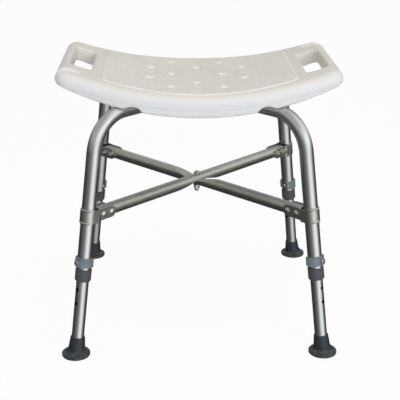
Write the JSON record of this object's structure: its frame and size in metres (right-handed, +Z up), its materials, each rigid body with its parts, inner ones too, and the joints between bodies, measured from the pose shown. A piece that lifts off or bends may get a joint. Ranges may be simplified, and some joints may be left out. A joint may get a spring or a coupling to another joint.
{
  "type": "shower chair",
  "caption": "Backless height-adjustable shower bench with a curved moulded seat, crossed tube frames, cross brace, telescopic legs with pinned spring clips, and rubber feet.",
  "frame": {"origin": "on the floor, midway between the four feet, under the seat centre", "axes": "+Z up, +X along the seat to the right of a person facing it, front of the seat towards -Y"},
  "size_m": [0.504, 0.5038, 0.4988],
  "materials": {
    "seat_plastic": "pebbled moulded polyethylene, off-white",
    "tube_aluminium": "satin anodised",
    "bracket_aluminium": "pressed sheet, satin anodised",
    "clip_plastic": "moulded, blue-grey",
    "collar_plastic": "moulded, dark grey",
    "foot_rubber": "moulded, dark blue-grey",
    "zinc_steel": "zinc plated",
    "pin_steel": "plated",
    "insert_brass": "turned"
  },
  "bodies": {
    "frame": {"seat": "seat_plastic", "seat_inserts": "insert_brass", "seat_screws": "zinc_steel", "seat_washers": "zinc_steel", "frame_tube_fl_br": "tube_aluminium", "frame_tube_fr_bl": "tube_aluminium", "frame_crossing_bolt": "zinc_steel", "frame_crossing_nut": "zinc_steel", "frame_crossing_washer": "zinc_steel", "brace_tube_fl_br": "tube_aluminium", "brace_tube_fr_bl": "tube_aluminium", "brace_bolt": "zinc_steel", "brace_washers": "zinc_steel", "brace_cap_nut": "zinc_steel", "bracket_bolts": "zinc_steel", "bracket_nuts": "zinc_steel", "leg_bracket_fl": "bracket_aluminium", "leg_bracket_fr": "bracket_aluminium", "leg_bracket_br": "bracket_aluminium", "leg_bracket_bl": "bracket_aluminium", "leg_collar_fl": "collar_plastic", "leg_collar_fr": "collar_plastic", "leg_collar_br": "collar_plastic", "leg_collar_bl": "collar_plastic"},
    "leg_fl": {"extension_leg_fl": "tube_aluminium", "rubber_foot_fl": "foot_rubber", "foot_disc_fl": "zinc_steel"},
    "clip_fl": {"lock_clip_fl": "clip_plastic", "lock_pin_fl": "pin_steel"},
    "leg_fr": {"extension_leg_fr": "tube_aluminium", "rubber_foot_fr": "foot_rubber", "foot_disc_fr": "zinc_steel"},
    "clip_fr": {"lock_clip_fr": "clip_plastic", "lock_pin_fr": "pin_steel"},
    "leg_br": {"extension_leg_br": "tube_aluminium", "rubber_foot_br": "foot_rubber", "foot_disc_br": "zinc_steel"},
    "clip_br": {"lock_clip_br": "clip_plastic", "lock_pin_br": "pin_steel"},
    "leg_bl": {"extension_leg_bl": "tube_aluminium", "rubber_foot_bl": "foot_rubber", "foot_disc_bl": "zinc_steel"},
    "clip_bl": {"lock_clip_bl": "clip_plastic", "lock_pin_bl": "pin_steel"}
  },
  "joints": [
    {"name": "leg_slide_fl", "type": "slide", "parent": "frame", "child": "leg_fl", "axis": [0.106, 0.1079, 0.9885], "range_m": [-0.0762, 0.0762]},
    {"name": "leg_slide_fr", "type": "slide", "parent": "frame", "child": "leg_fr", "axis": [-0.106, 0.1079, 0.9885], "range_m": [-0.0762, 0.0762]},
    {"name": "leg_slide_br", "type": "slide", "parent": "frame", "child": "leg_br", "axis": [-0.106, -0.1079, 0.9885], "range_m": [-0.0762, 0.0762]},
    {"name": "leg_slide_bl", "type": "slide", "parent": "frame", "child": "leg_bl", "axis": [0.106, -0.1079, 0.9885], "range_m": [-0.0762, 0.0762]},
    {"name": "clip_pull_fl", "type": "slide", "parent": "frame", "child": "clip_fl", "axis": [-0.6928, -0.705, 0.1513], "range_m": [0, 0.03], "deforming": ["lock_clip_fl"]},
    {"name": "clip_pull_fr", "type": "slide", "parent": "frame", "child": "clip_fr", "axis": [0.6928, -0.705, 0.1513], "range_m": [0, 0.03], "deforming": ["lock_clip_fr"]},
    {"name": "clip_pull_br", "type": "slide", "parent": "frame", "child": "clip_br", "axis": [0.6928, 0.705, 0.1513], "range_m": [0, 0.03], "deforming": ["lock_clip_br"]},
    {"name": "clip_pull_bl", "type": "slide", "parent": "frame", "child": "clip_bl", "axis": [-0.6928, 0.705, 0.1513], "range_m": [0, 0.03], "deforming": ["lock_clip_bl"]}
  ]
}
